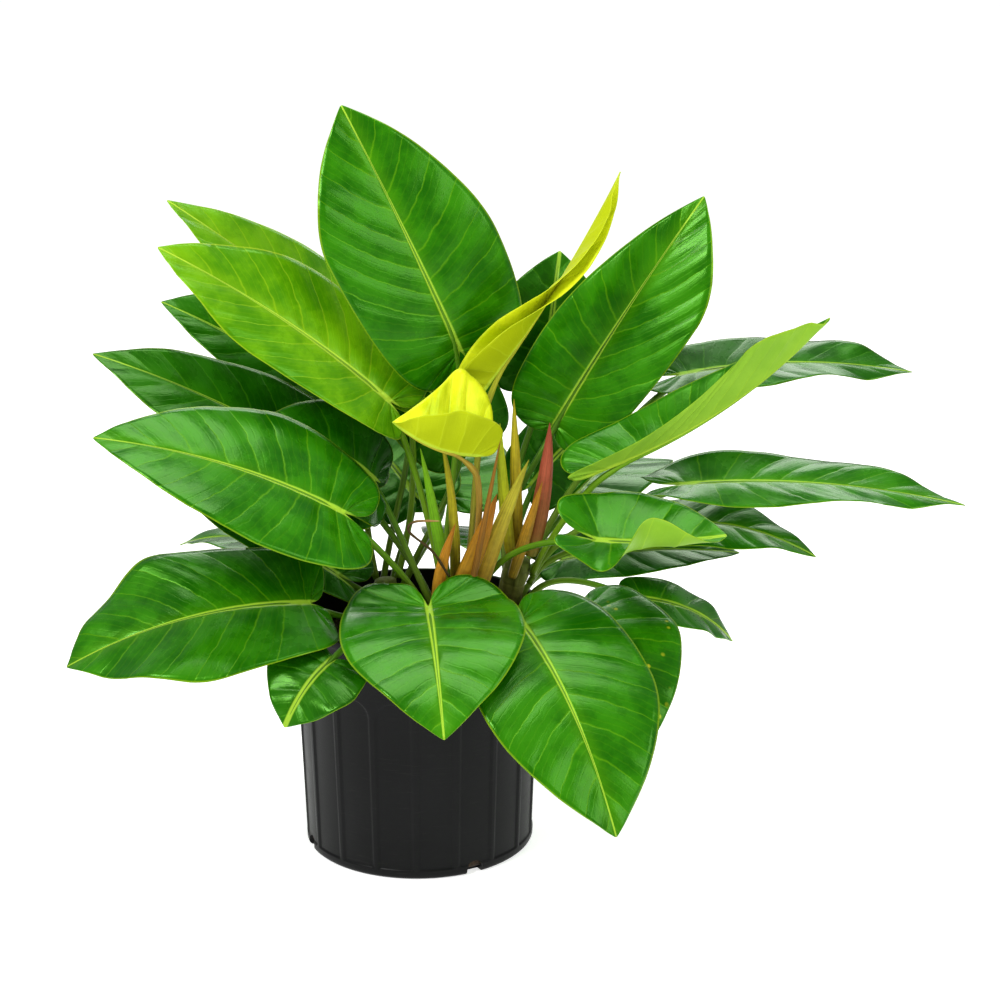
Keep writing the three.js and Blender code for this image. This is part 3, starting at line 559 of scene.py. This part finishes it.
def make_leaf(row, number):
    name, stem_name, node_height, joint, tip, facing, widths, shape = row
    tone = shape.get("tone", "green")
    rib = Midrib(joint, tip, facing, shape)
    share = (np.arange(SIDE_STEPS + 1) / SIDE_STEPS) ** 1.35
    t = np.concatenate([-share[:0:-1], share])
    u = np.concatenate([np.linspace(0, 0.3, 30)[:-1], np.linspace(0.3, 1, LENGTH_STEPS - 29)])
    T, U = np.meshgrid(t, u)
    hand = (T >= 0).astype(int)
    across = np.abs(T)
    lobe = shape.get("lobe", 0.14)
    broad = shape.get("broad", (0.32, 0.32))
    half = np.where(hand == 0, widths[0], widths[1])
    edge = np.where(hand[..., None] == 0, outline(U, lobe, broad[0]), outline(U, lobe, broad[1]))
    root = np.maximum(0, (U - 0.25) / 0.75) ** 1.5
    slim = np.where(hand == 0, *[float(k) for k in shape.get("slim", (1, 1))])
    x = edge[..., 0] * across * (slim + (1 - slim) * smooth(0.25, 0.7, U))
    v = root + (edge[..., 1] - root) * (0.6 * across + 0.4 * across**2)
    point, _, side, over = rib.at(v)
    narrow = np.minimum(1, outline(U, 0, 0.3)[..., 0] * half / FULL_FOLD_WIDTH)
    fold = np.radians(np.where(hand == 0, *[float(f) for f in shape.get("fold", (8, 8))])) * narrow
    rolled = np.where(hand == 0, *[float(k) for k in shape.get("roll", (0, 0))]) * smooth(0, 0.5, v)
    curl = np.radians(np.where(hand == 0, *[float(c) for c in shape.get("curl", (-8, -8))]) + rolled)
    curl = np.where(np.abs(curl) < 1e-6, 1e-6, curl)
    fold = np.where(across == 0, 0, fold)
    lean = fold + curl * x
    outward = (half / curl) * (np.sin(lean) - np.sin(fold))
    height, count, phase = shape.get("wave", (0, 1, 0))
    ripple = height * np.sin(2 * np.pi * (count * U + phase + 0.35 * hand)) * T * T
    upward = (half / curl) * (np.cos(fold) - np.cos(lean)) + ripple * np.minimum(1, x * 2)
    sign = np.sign(T)[..., None]
    at = point + side * sign * outward[..., None] + over * upward[..., None]
    normal = over * np.cos(lean)[..., None] - side * sign * np.sin(lean)[..., None]

    veins = int(np.clip(round(rib.length / 21), 6, 13))
    seed = number * 1.618
    edge_mm = edge[..., 0] * half
    from_rib = across * edge_mm
    fade = smooth(0, 7, from_rib) * (1 - 0.6 * smooth(0.86, 1, across)) * smooth(2, 12, edge_mm)
    wobble = 0.10 * np.sin(5.1 * U + seed) * across
    cell = np.abs(((U * veins + 0.45 * hand + wobble) % 1) - 0.5) * 2
    quilt = (np.sqrt(np.clip(1 - cell**2, 0, 1)) - 0.6) * 1.5 * fade
    roll = sum(
        2.1 * np.sin(2 * np.pi * (k * U + 0.31 * k * seed + 0.4 * hand) + 2.2 * across) / (k**0.5)
        for k in (1.7, 2.9, 4.3)
    ) * across**2 * smooth(4, 30, edge_mm)
    at = at + normal * (quilt + roll)[..., None]
    thick = np.interp(across, [0, 0.15, 0.8, 1], [1.5, 1.1, 0.8, 0.45])
    groove = 0.45 * np.exp(-((from_rib / 1.5) ** 2)) * smooth(2, 10, edge_mm)
    upper = at + normal * (thick / 2 - groove)[..., None]
    lower = at - normal * (thick / 2)[..., None]

    rows, columns = len(u), len(t)
    quads, _ = lattice(rows, columns)
    vein = np.stack([(T + 1) / 2, U], -1).reshape(-1, 2)
    flat = np.stack([x * half * np.sign(T) / 100,
        (edge[..., 1] * across + root * (1 - across)) * rib.length / 100], -1)
    maps = np.concatenate([vein, flat.reshape(-1, 2)], -1)
    size = rows * columns
    look = LOOKS.get(name, {})
    shell = Shell(name + "_looks")
    body = np.concatenate([upper.reshape(-1, 3), lower.reshape(-1, 3)])
    ij = np.arange(size).reshape(rows, columns)
    left, right, notch, end = ij[:, 0], ij[:, -1], ij[0], ij[-1]
    walls = [
        np.stack([right[:-1], right[:-1] + size, right[1:] + size, right[1:]], 1),
        np.stack([left[:-1] + size, left[:-1], left[1:], left[1:] + size], 1),
        np.stack([notch[:-1], notch[:-1] + size, notch[1:] + size, notch[1:]], 1),
        np.stack([end[:-1] + size, end[:-1], end[1:], end[1:] + size], 1),
    ]
    under = quads[:, ::-1] + size
    both = np.concatenate([maps, maps])
    shell.add(lift(body), [quads, *walls], [both[f] for f in (quads, *walls)], 0)
    shell.faces.append(under)
    shell.maps.append(both[under])
    shell.slots.append(np.full(len(under), 1))
    path, radii = petiole_path(rib, STEMS[stem_name], node_height, joint, shape)
    tube(shell, path, radii, 12, slot=2)
    base = TONES[tone][4]
    stalk = look.get("stalk",
        (blend(base, (0.30, 0.30, 0.04), 0.25), base, blend(base, TONES[tone][3], 0.6)))
    paints = [
        leaf_paint(name + "_top", look.get("top", tone), veins, seed, specks=look.get("specks", 0.0)),
        leaf_paint(name + "_under", look.get("under", tone), veins, seed, under=True),
        stalk_paint(name + "_stalk", ((0.0, stalk[0]), (0.30, stalk[1]), (0.62, stalk[2])), seed),
    ]
    piece = shell.build(paints)
    slot = {"dark": "leaf_dark", "green": "leaf_green", "fresh": "leaf_fresh", "lime": "leaf_lime"}[tone]
    finish_piece(piece, slot, name)


for number, row in enumerate(LEAVES):
    make_leaf(row, number)


# ---------------------------------------------------------------- sheaths, stems and roots
def make_sheath(number, name, foot, tip, width, depth, bend, colours, slot):
    start, end = np.array(foot, float), np.array(tip, float)
    middle = (start + end) / 2 + np.array([*bend, 0.0])
    s = np.concatenate([np.linspace(0, 0.04, 4)[:-1], np.linspace(0.04, 1, 40)])
    k = s[:, None]
    spine = (1 - k) ** 2 * start + 2 * (1 - k) * k * middle + k * k * end
    along = unit((1 - k) * (middle - start) + k * (end - middle))
    side = unit(np.cross(along, [0.0, 1.0, 0.0]))
    front = np.cross(side, along)
    reach = np.interp(s, [0, 0.012, 0.04, 0.12, 0.3, 0.5, 0.7, 0.88, 0.97, 1],
                      [0.30, 0.38, 0.42, 0.46, 0.50, 0.45, 0.335, 0.175, 0.06, 0.012])
    sides = 28
    angle = 2 * math.pi * np.arange(sides) / sides
    seam = (1 - 0.16 * np.exp(-(((angle - 4.0) / 0.16) ** 2))
            - 0.05 * np.exp(-(((angle - 5.3) / 0.10) ** 2)))
    ribbing = 1 + 0.018 * np.sin(9 * angle + number)
    radial = reach[:, None] * (seam * ribbing)[None, :]
    radial = radial * (1 + 0.02 * np.sin(9 * s + number))[:, None]
    rings = (
        spine[:, None]
        + side[:, None] * (radial * np.cos(angle) * width)[..., None]
        + front[:, None] * (-radial * np.sin(angle) * depth)[..., None]
    )
    quads, place = lattice(len(s), sides, around=True)
    length = np.linalg.norm(end - start)
    uv = np.stack([place[..., 1] / sides, s[place[..., 0]], place[..., 1] / sides * width / 30,
        s[place[..., 0]] * length / 100], -1)
    shell = Shell(name + "_looks")
    first, last = np.arange(sides)[::-1][None, :], (np.arange(sides) + (len(s) - 1) * sides)[None, :]
    rings = rings[:, ::-1]
    ends = [np.tile([0.5, 0.0, 0.0, 0.0], (1, sides, 1)), np.tile([0.5, 1.0, 0.0, 0.0], (1, sides, 1))]
    shell.add(lift(rings), [quads, first, last], [uv, *ends], 0)
    stops = [(position, colour) for position, colour in colours]
    piece = shell.build([stalk_paint(name + "_skin", stops, number * 2.3, 0.42, 0.0007)])
    finish_piece(piece, slot, name)


for number, row in enumerate(SHEATHS):
    make_sheath(number, *row)


def make_stem(letter, stem, seed):
    foot, top, radius = np.array([*stem["foot"], 0.0]), np.array(stem["top"], float), stem["radius"]
    along = unit(top - foot)
    low = foot - along * 44 / along[2]
    length = np.linalg.norm(top - low)
    steps = int(length / 1.2)
    s = np.linspace(0, 1, steps)
    centres = low + (top - low) * s[:, None]
    scars = np.abs(((s * length / 13 + 0.2 * np.sin(s * 9 + seed)) % 1) - 0.5) * 2
    radii = radius * (0.95 - 0.055 * smooth(0.80, 1.0, scars) + 0.03 * np.sin(s * 21 + seed))
    radii[-4:] *= [0.98, 0.93, 0.80, 0.5]

    def knobs(k, angle):
        wave = 0.5 + 0.5 * np.sin(3 * angle + 11 * k + seed)
        return 1 + 0.03 * np.sin(7 * angle + 30 * k + seed) - 0.035 * wave * np.cos(26 * k + 2 * angle)

    shell = Shell(f"stem_{letter}_looks")
    tube(shell, centres, radii, 40, ridges=knobs)
    stops = ((0.0, (0.05, 0.035, 0.015)), (0.5, (0.13, 0.10, 0.03)), (0.8, (0.16, 0.17, 0.035)),
        (1.0, (0.10, 0.14, 0.02)))
    bark = stalk_paint(f"stem_{letter}_bark", stops, seed, 0.6, 0.0012)
    finish_piece(shell.build([bark]), "stem", f"stem_{letter}")


for seed, (letter, stem) in enumerate(STEMS.items()):
    make_stem(letter, stem, seed * 1.9)


def through(points, count):
    """A smooth line through the points."""
    points = np.array(points, float)
    padded = np.concatenate([[2 * points[0] - points[1]], points, [2 * points[-1] - points[-2]]])
    line = []
    for place in np.linspace(0, len(points) - 1 - 1e-6, count):
        i, s = int(place), place - int(place)
        a, b, c, d = padded[i : i + 4]
        line.append(0.5 * (2 * b + (c - a) * s + (2 * a - 5 * b + 4 * c - d) * s**2
                           + (3 * b - a - 3 * c + d) * s**3))
    return np.array(line)


def make_root(name, points, radius, stops, node=None, seed=0.0):
    path = through(points, 60)
    s = np.linspace(0, 1, len(path))
    radii = radius * np.interp(s, [0, 0.04, 0.9, 1],
        [0.8, 1, 0.9, 0.3]) * (1 + 0.08 * np.sin(s * 40 + seed))
    shell = Shell(name)
    tube(shell, path, radii, 12)
    piece = shell.build([stalk_paint(name + "_bark", stops, seed, 0.6, 0.0005)])
    finish_piece(piece, "root", *([node] if node else []))


make_root(
    "aerial_root_looks",
    [(33, -44, 82), (17, -48, 109), (-6, -46, 129), (-1, -45, 139), (24, -45, 140)],
    1.4,
    ((0.0, (0.035, 0.018, 0.010)), (0.7, (0.06, 0.03, 0.012)), (0.9, (0.35, 0.18, 0.06)),
        (1.0, (0.5, 0.3, 0.12))),
    "aerial_root",
    2.0,
)


# ---------------------------------------------------------------- pot
POT_TOP, POT_BASE, WALL, FLOOR, LIP_WIDTH, LIP_HEIGHT = 127.0, 118.0, 3.0, 4.0, 3.0, 9.0
PANELS, PANEL_WIDTH, PANEL_BOTTOM, PANEL_TOP, RELIEF = 18, 36.0, 10.0, 190.0, 1.6
DRAIN_WIDTH, DRAIN_HEIGHT, DRAIN_REACH, DRAIN_BEARINGS = 18.0, 14.0, 12.0, (-60, -160, 110, 20)


def pot_wall(z):
    return POT_BASE + (POT_TOP - POT_BASE) * z / (POT_HEIGHT / MM)


def panel_depth(angle, z):
    """How deep the arched panels are set into the wall at a bearing and height."""
    pitch = 2 * math.pi / PANELS
    local = (angle + pitch / 2) % pitch - pitch / 2
    x = np.abs(local) * pot_wall(z)
    half = PANEL_WIDTH / 2
    spring = PANEL_TOP - half
    inside = np.where(z > spring, half - np.hypot(x, z - spring), np.minimum(half - x, z - PANEL_BOTTOM))
    return RELIEF * smooth(-0.5, 1.0, inside)


def make_pot():
    height = POT_HEIGHT / MM
    around = 2 * math.pi * np.arange(PANELS * 30) / (PANELS * 30)
    levels = np.concatenate([
        np.linspace(4, PANEL_BOTTOM - 1.5, 3), np.linspace(PANEL_BOTTOM - 1, PANEL_BOTTOM + 2, 5),
        np.linspace(16, 168, 40), np.linspace(170, PANEL_TOP + 2, 30),
        np.linspace(196, height - LIP_HEIGHT - 1.2, 12),
    ])
    profile = [(1.0, 0.6, 0), (20, 0.6, 0), (60, 0.6, 0), (90, 0.6, 0), (100, 0.0, 0),
        (pot_wall(0) - 4.6, 0.0, 0),
               (pot_wall(1) - 2.6, 0.6, 0), (pot_wall(2.4) - 1.0, 2.0, 0)]
    profile += [(pot_wall(z), z, 1) for z in levels]
    rim = pot_wall(height) + LIP_WIDTH
    profile += [
        (pot_wall(height) + 0.1, height - LIP_HEIGHT - 0.4, 0), (rim - 0.9, height - LIP_HEIGHT, 0),
        (rim - 0.25, height - LIP_HEIGHT + 0.25, 0), (rim, height - LIP_HEIGHT + 0.9, 0),
        (rim, height - 1.6, 0),
        (rim - 0.4, height - 0.5, 0), (rim - 1.3, height, 0), (pot_wall(height) - WALL + 1.0, height, 0),
        (pot_wall(height) - WALL + 0.2, height - 0.4, 0), (pot_wall(height) - WALL, height - 1.4, 0),
    ]
    profile += [(pot_wall(z) - WALL, z, 0) for z in np.linspace(height - 12, 8, 12)]
    profile += [(pot_wall(0) - WALL - 4, FLOOR, 0), (60, FLOOR, 0), (1.0, FLOOR, 0)]
    radius = np.array([p[0] for p in profile])[:, None] * np.ones_like(around)[None, :]
    level = np.array([p[1] for p in profile])[:, None] * np.ones_like(around)[None, :]
    panelled = np.array([p[2] for p in profile])[:, None]
    bearing = np.ones((len(profile), 1)) * around[None, :]
    radius = radius - panel_depth(bearing, level) * panelled
    rings = np.stack([radius * np.cos(bearing), radius * np.sin(bearing), level], -1)
    quads, place = lattice(len(profile), len(around), around=True)
    uv = np.stack([place[..., 1] / len(around), place[..., 0] / len(profile), place[..., 1] * 0.0,
        place[..., 0] * 0.0], -1)
    count = len(around)
    first = np.arange(count)[::-1][None, :]
    last = (np.arange(count) + (len(profile) - 1) * count)[None, :]
    shell = Shell("nursery_pot_looks")
    caps = [np.zeros((1, count, 4))] * 2
    shell.add(rings * MM, [quads, first, last], [uv, *caps], 0)

    p = Paint("pot_plastic")
    here = p.place()
    broad = p.noise(here, 9.0, 4.0)
    scuff = p.noise(p.node("ShaderNodeMapping", {"Vector": here, "Scale": (6.0, 6.0, 90.0)}), 6.0, 5.0,
        0.65)
    grain = p.noise(here, 900.0, 2.0)
    dust = p.step(scuff, 0.56, 0.74)
    colour = p.mix(p.step(broad, 0.3, 0.7), (0.0045, 0.0046, 0.0048), (0.0075, 0.0077, 0.0080))
    colour = p.mix(p.math("MULTIPLY", dust, 0.35), colour, (0.024, 0.0235, 0.022))
    shine = p.math("ADD", p.step(broad, 0.3, 0.7, 0.34, 0.46), p.math("MULTIPLY", dust, 0.12))
    height_map = p.math("ADD", p.math("MULTIPLY", grain, 0.5), p.math("MULTIPLY", scuff, 0.5))
    plastic = p.done(colour, shine, height_map, 0.00025, 0.6, Specular_IOR_Level=0.10)
    pot = shell.build([plastic], sharp=50)

    for number, bearing in enumerate(DRAIN_BEARINGS):
        half = DRAIN_WIDTH / 2
        arch = [(-half, -4.0), (half, -4.0), (half, DRAIN_HEIGHT - half)]
        bend = np.linspace(0, math.pi, 17)[1:-1]
        arch += [(half * math.cos(a), DRAIN_HEIGHT - half + half * math.sin(a)) for a in bend]
        arch += [(-half, DRAIN_HEIGHT - half)]
        cutter = bmesh.new()
        turn = math.radians(bearing)
        near, far = pot_wall(0) - DRAIN_REACH, pot_wall(0) + DRAIN_REACH
        rings = []
        for reach in (near, far):
            ring = []
            for x, z in arch:
                ring.append(cutter.verts.new((
                    (reach * math.cos(turn) - x * math.sin(turn)) * MM,
                    (reach * math.sin(turn) + x * math.cos(turn)) * MM,
                    z * MM,
                )))
            rings.append(ring)
        cutter.faces.new(rings[0][::-1])
        cutter.faces.new(rings[1])
        for i in range(len(arch)):
            k = (i + 1) % len(arch)
            cutter.faces.new((rings[0][i], rings[0][k], rings[1][k], rings[1][i]))
        bmesh.ops.recalc_face_normals(cutter, faces=cutter.faces)
        mesh = bpy.data.meshes.new(f"drain_{number}")
        cutter.to_mesh(mesh)
        cutter.free()
        block = bpy.data.objects.new(f"drain_{number}", mesh)
        bpy.context.scene.collection.objects.link(block)
        cut = pot.modifiers.new("drain", "BOOLEAN")
        cut.object, cut.operation, cut.solver = block, "DIFFERENCE", "MANIFOLD"
        bpy.context.view_layer.objects.active = pot
        bpy.ops.object.modifier_apply(modifier=cut.name)
        bpy.data.objects.remove(block)
    finish_piece(pot, "pot", "nursery_pot")


make_pot()


# ---------------------------------------------------------------- potting mix
def mix_paint(name, light):
    p = Paint(name)
    here = p.place()
    clumps = p.noise(here, 70.0, 6.0, 0.65)
    crumbs = p.node("ShaderNodeTexVoronoi", {"Vector": here, "Scale": 260.0})
    fibre = p.noise(p.node("ShaderNodeMapping",
        {"Vector": here, "Scale": (1.0, 7.0, 3.0), "Rotation": (0.4, 0.9, 0.3)}), 120.0, 4.0)
    # The colour follows the same clumps noise as the bump height: the peat's own uneven tone, with
    # painted shade darkening the hollows to near black.
    colour = p.ramp(clumps, (0.30, (0.010, 0.006, 0.004)),
        (0.52, blend((0.030, 0.018, 0.010), (0.10, 0.05, 0.022), light)),
                    (0.72, blend((0.075, 0.045, 0.024), (0.22, 0.12, 0.055), light)))
    colour = p.mix(p.math("MULTIPLY", p.step(fibre, 0.55, 0.75), 0.5), colour, (0.14, 0.085, 0.045))
    height = p.math("ADD", clumps, p.math("MULTIPLY", crumbs, 0.5))
    return p.done(colour, p.step(clumps, 0.3, 0.7, 0.7, 0.95), height, 0.004, 1.0,
        Specular_IOR_Level=0.25)


# How far the mix falls from its middle to the pot's wall, and how many chips of bark lie on it.
MIX_FALL, CHIP_COUNT = 5.0, 420


def make_mix():
    level, fit = MIX_LEVEL / MM, 0.6
    radii = np.concatenate([np.linspace(0.8, 60, 30), np.linspace(62, pot_wall(level) - WALL - fit, 32)])
    around = 2 * math.pi * np.arange(180) / 180
    top = []
    for radius in radii:
        for angle in around:
            x, y = radius * math.cos(angle), radius * math.sin(angle)
            rough = noise.fractal(Vector((x / 14, y / 14, 3.1)), 0.8, 2.1, 4)
            fall = MIX_FALL * smooth(POT_TOP / 2, pot_wall(level) - WALL, radius)
            top.append((x, y, -1.6 - fall + 1.7 * rough))
    rings = [np.array(top).reshape(len(radii), len(around), 3)]
    under = FLOOR + 0.5 - level
    sides = ((pot_wall(8) - WALL - fit, 8 - level), (pot_wall(0) - WALL - 4 - fit, under), (1.0, under))
    for radius, z in sides:
        ring = [radius * np.cos(around), radius * np.sin(around), np.full(len(around), z)]
        rings.append(np.stack(ring, -1)[None])
    rings = np.concatenate(rings)
    quads, _ = lattice(len(rings), len(around), around=True)
    quads = quads[:, ::-1]
    count = len(around)
    first = np.arange(count)[None, :]
    last = (np.arange(count) + (len(rings) - 1) * count)[::-1][None, :]
    uv = [np.zeros((len(quads), 4, 4)), np.zeros((1, count, 4)), np.zeros((1, count, 4))]
    shell = Shell("potting_mix_looks")
    shell.add(lift(rings), [quads, first, last], uv, 0)
    finish_piece(shell.build([mix_paint("mix_peat", 0.0)]), "mix", "potting_mix")

    rng = np.random.default_rng(11)
    chips = Shell("mix_chips")
    ball = bmesh.new()
    bmesh.ops.create_icosphere(ball, subdivisions=2, radius=1.0)
    corner = np.array([v.co for v in ball.verts])
    faces = np.array([[v.index for v in f.verts] for f in ball.faces])
    ball.free()
    stems = [(np.array(s["foot"], float), s["radius"]) for s in STEMS.values()]
    for k in range(CHIP_COUNT):
        reach, angle = 116 * math.sqrt(rng.random()), rng.random() * 2 * math.pi
        size = rng.uniform(1.4, 4.6)
        centre = np.array([reach * math.cos(angle), reach * math.sin(angle)])
        if any(np.linalg.norm(centre - foot) < radius + size + 1 for foot, radius in stems):
            continue
        fall = MIX_FALL * float(smooth(POT_TOP / 2, 120, reach))
        shape = corner * size * np.array([1.0, rng.uniform(0.45, 0.8), rng.uniform(0.25, 0.5)])
        shape = shape * (1 + 0.22 * np.sin(corner[:, [1, 2, 0]] * 3.1 + k))
        tilt, spin = rng.uniform(-0.5, 0.5), rng.random() * math.pi
        c, s = math.cos(tilt), math.sin(tilt)
        shape = shape @ np.array([[c, 0, s], [0, 1, 0], [-s, 0, c]]).T
        c, s = math.cos(spin), math.sin(spin)
        shape = shape @ np.array([[c, -s, 0], [s, c, 0], [0, 0, 1]]).T
        shape = shape + np.array([*centre, -1.2 - fall + size * 0.16])
        chips.add(lift(shape), [faces], [np.zeros((len(faces), 3, 4))], 0 if k % 4 else 1)
    barks = [mix_paint("mix_bark", 0.35), mix_paint("mix_bark_light", 0.9)]
    finish_piece(chips.build(barks, sharp=40), "mix")


make_mix()


# ---------------------------------------------------------------- camera, light and floor
SENSOR_WIDTH = 36.0
LENS_TO_SENSOR = 2.352
CAMERA_AT = (0.084, -2.280, 1.026)
CAMERA_PITCH_DOWN = 16.2
WORLD_STRENGTH = 0.46


def make_room():
    camera = bpy.data.objects.new("camera", bpy.data.cameras.new("camera"))
    camera.data.sensor_width = SENSOR_WIDTH
    camera.data.lens = SENSOR_WIDTH * LENS_TO_SENSOR
    camera.data.clip_end = 100.0
    camera.location = CAMERA_AT
    camera.rotation_euler = (math.radians(90 - CAMERA_PITCH_DOWN), 0, 0)
    bpy.context.scene.collection.objects.link(camera)
    bpy.context.scene.camera = camera

    bpy.ops.mesh.primitive_grid_add(x_subdivisions=2, y_subdivisions=2, size=60, location=(0, 0, 0))
    floor = bpy.context.object
    floor.name = "floor"
    p = Paint("floor_white")
    tint = p.noise(p.place(), 0.4, 2.0)
    white = p.mix(tint, (0.80, 0.80, 0.80), (0.82, 0.82, 0.82))
    floor.data.materials.append(p.done(white, 0.9, Specular_IOR_Level=0.1, Emission_Color=(1, 1, 1, 1),
        Emission_Strength=0.66))

    for name, at, aim, size, power in (
        ("key", (-1.5, -1.6, 2.4), (0.0, 0.0, 0.40), (0.9, 0.9), 56),
        ("fill", (2.2, -1.5, 1.7), (0.0, 0.0, 0.40), (1.1, 1.5), 24),
        ("top", (0.1, 0.2, 2.8), (0.0, 0.0, 0.30), (1.6, 1.2), 34),
        ("back", (0.3, 2.4, 1.9), (0.0, 0.0, 0.45), (2.2, 1.2), 26),
    ):
        lamp = bpy.data.objects.new(name, bpy.data.lights.new(name, "AREA"))
        lamp.data.shape = "RECTANGLE"
        lamp.data.size, lamp.data.size_y = size
        lamp.data.energy = power
        lamp.location = at
        lamp.rotation_euler = (Vector(aim) - Vector(at)).to_track_quat("-Z", "Y").to_euler()
        bpy.context.scene.collection.objects.link(lamp)

    world = bpy.data.worlds.new("studio")
    world.use_nodes = True
    world.node_tree.nodes["Background"].inputs[0].default_value = (1.0, 1.0, 1.0, 1)
    world.node_tree.nodes["Background"].inputs[1].default_value = WORLD_STRENGTH
    bpy.context.scene.world = world
    bpy.context.scene.view_settings.view_transform = "Standard"


make_room()
